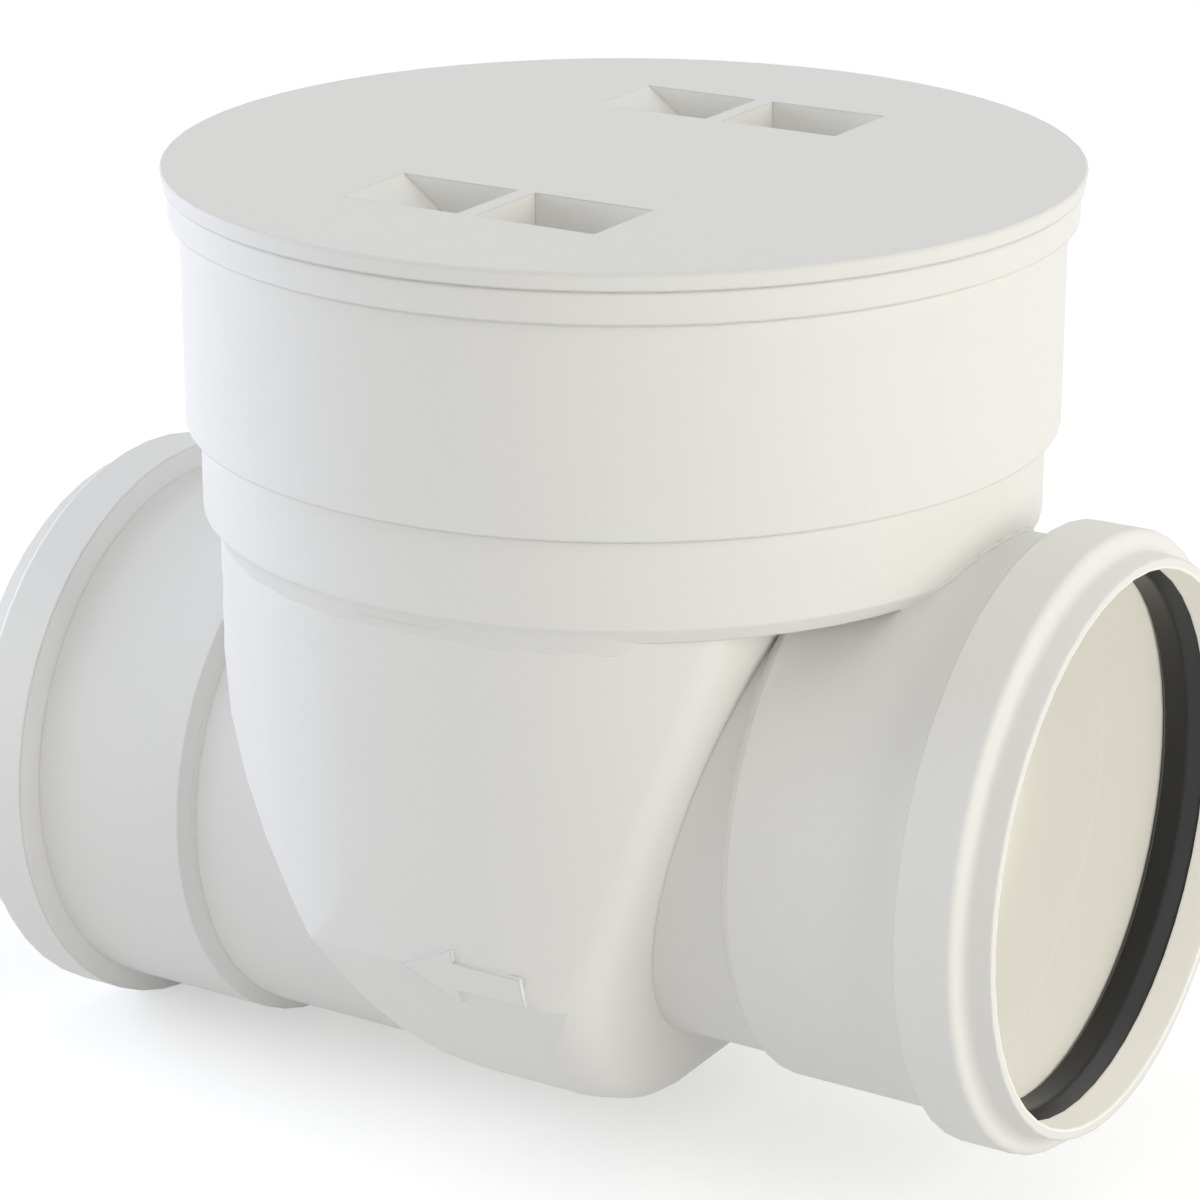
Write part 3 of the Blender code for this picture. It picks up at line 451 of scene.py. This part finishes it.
def make_notch_cement():
    """The fine fillet along the notch where the chamber sits over the inlet socket."""
    half = math.acos(LEDGE_HEIGHT / SOCKET_RADIUS)
    count = TURN_STEPS // 2
    sections = []
    for i in range(count + 1):
        turn = half * (2 * i / count - 1)
        section = []
        for beside, along in NOTCH_PROFILE:
            y = (SOCKET_RADIUS + beside) * math.sin(turn)
            height = (SOCKET_RADIUS + beside) * math.cos(turn)
            x = CHAMBER_X + math.sqrt(sleeve_radius(height) ** 2 - y ** 2) + along
            section.append((x, y, height))
        sections.append(section)
    make_band("notch_cement_line", sections, closed=False)


def wall_radius(turn):
    """How far the housing's side is from the chamber's axis, with its flat front and back."""
    return min(HOUSING_RADIUS, TROUGH_HALF_WIDTH / max(FLAT_LEAST_SINE, abs(math.sin(turn))))


def make_sleeve_slope():
    """The short slope under the sleeve, which runs out at both sides of the inlet."""
    first = SLOPE_HALF_OPENING
    sweep = 2 * (math.pi - first)
    sections = []
    for i in range(TURN_STEPS + 1):
        turn = first + sweep * i / TURN_STEPS
        to_end = min(turn - first, first + sweep - turn)
        full = math.sin(math.pi / 2 * min(1.0, to_end / SLOPE_RUN_OUT))
        low = SLOPE_TOP - SLOPE_FALL * (SLOPE_LEAST_FALL + (1 - SLOPE_LEAST_FALL) * full)
        start = wall_radius(turn) - SLOPE_SUNK
        end = HOUSING_RADIUS - SLOPE_SUNK + SLOPE_WIDTH * full
        profile = [
            (SLOPE_INNER, low),
            (start, low),
            (start + SLOPE_BEND * (end - start), (low + SLOPE_TOP) / 2),
            (end, SLOPE_TOP),
            (SLOPE_INNER, SLOPE_TOP),
        ]
        sections.append(around_chamber(profile, turn))
    make_band("sleeve_slope", sections, closed=False)


def make_rim_crest():
    """The low crest of the chamber's rim, which the lid rests on."""
    outer = RIM_RADIUS - CREST_SETBACK
    inner = outer - CREST_WIDTH
    top = RIM_TOP + CREST_HEIGHT
    low = RIM_TOP - CREST_HEIGHT
    profile = [
        (inner, low),
        (outer, low),
        (outer, RIM_TOP + CREST_SHOULDER * CREST_HEIGHT),
        (outer - CREST_HEIGHT, top),
        (inner, top),
    ]
    sections = [around_chamber(profile, turn) for turn in full_turn()]
    make_band("rim_crest", sections, closed=True)


make_arrow()
make_cement("inlet_cement_line", INLET_REAR_X, 0.0, 1)
make_cement("outlet_cement_line", OUTLET_REAR_X, -OUTLET_DROP, -1)
make_notch_cement()
make_sleeve_slope()
make_rim_crest()


def backdrop_rays(tree):
    """A socket that is 1 for rays that see the backdrop: straight, in gloss or through glass."""
    rays = tree.nodes.new("ShaderNodeLightPath")
    seen = rays.outputs["Is Camera Ray"]
    for kind in ("Is Glossy Ray", "Is Transmission Ray"):
        either = tree.nodes.new("ShaderNodeMath")
        either.operation = "MAXIMUM"
        tree.links.new(seen, either.inputs[0])
        tree.links.new(rays.outputs[kind], either.inputs[1])
        seen = either.outputs["Value"]
    return seen


def set_by_ray(tree, out, lighting, backdrop):
    """One shader for the light on the valve, and another for rays that see the backdrop."""
    mix = tree.nodes.new("ShaderNodeMixShader")
    tree.links.new(backdrop_rays(tree), mix.inputs[0])
    tree.links.new(lighting.outputs[0], mix.inputs[1])
    tree.links.new(backdrop.outputs[0], mix.inputs[2])
    tree.links.new(mix.outputs[0], out.inputs["Surface"])


def glowing(tree, kind, colour, strength):
    """An emission or background node of a colour and strength."""
    made = tree.nodes.new(kind)
    made.inputs["Color"].default_value = rgba(colour)
    made.inputs["Strength"].default_value = strength
    return made


def make_floor():
    """A pale floor just under the sockets' beads. It looks white, and keeps the shadow."""
    shape = bmesh.new()
    bmesh.ops.create_grid(shape, x_segments=1, y_segments=1, size=FLOOR_HALF)
    mesh = bpy.data.meshes.new("floor")
    shape.to_mesh(mesh)
    shape.free()
    made = bpy.data.materials.new("pale_floor")
    tree, shader = shader_nodes(made)
    shader.inputs["Base Color"].default_value = rgba(FLOOR_COLOUR)
    shader.inputs["Roughness"].default_value = FLOOR_ROUGHNESS
    lift = glowing(tree, "ShaderNodeEmission", NEUTRAL, FLOOR_LIFT)
    lifted = tree.nodes.new("ShaderNodeAddShader")
    tree.links.new(shader.outputs[0], lifted.inputs[0])
    tree.links.new(lift.outputs[0], lifted.inputs[1])
    set_by_ray(tree, tree.nodes["Material Output"], shader, lifted)
    mesh.materials.append(made)
    floor = bpy.data.objects.new("floor", mesh)
    floor.location = (CHAMBER_X, 0.0, cad_low[2] - FLOOR_GAP)
    scene.collection.objects.link(floor)


def make_camera():
    """The photograph's view: a long lens from the front right, a little above."""
    data = bpy.data.cameras.new("camera")
    data.lens = CAMERA_LENS
    data.sensor_width = CAMERA_SENSOR
    data.sensor_fit = "HORIZONTAL"
    camera = bpy.data.objects.new("camera", data)
    camera.location = CAMERA_PLACE
    camera.rotation_euler = (math.pi / 2 + CAMERA_PITCH, 0.0, CAMERA_YAW)
    scene.collection.objects.link(camera)
    scene.camera = camera


def area_light(name, azimuth, elevation, watts, colour):
    """A square soft box aimed at the valve."""
    data = bpy.data.lights.new(name, "AREA")
    data.shape = "SQUARE"
    data.size = LIGHT_SIZE
    data.energy = watts
    data.color = colour
    light = bpy.data.objects.new(name, data)
    turn = math.radians(azimuth)
    rise = math.radians(elevation)
    way = Vector(
        (math.cos(turn) * math.cos(rise), math.sin(turn) * math.cos(rise), math.sin(rise))
    )
    light.location = LIGHT_TARGET + way * LIGHT_DISTANCE
    light.rotation_mode = "QUATERNION"
    light.rotation_quaternion = (-way).to_track_quat("-Z", "Y")
    scene.collection.objects.link(light)


def make_world():
    """Even studio light, seen as pure white behind the valve."""
    world = bpy.data.worlds.new("studio")
    scene.world = world
    world.use_nodes = True
    tree = world.node_tree
    tree.nodes.clear()
    fill = glowing(tree, "ShaderNodeBackground", FILL_COLOUR, FILL_STRENGTH)
    backdrop = glowing(tree, "ShaderNodeBackground", NEUTRAL, BACKDROP_STRENGTH)
    set_by_ray(tree, tree.nodes.new("ShaderNodeOutputWorld"), fill, backdrop)


make_floor()
make_camera()
for soft_box in SOFT_BOXES:
    area_light(*soft_box)
make_world()

scene.view_settings.view_transform = "Standard"
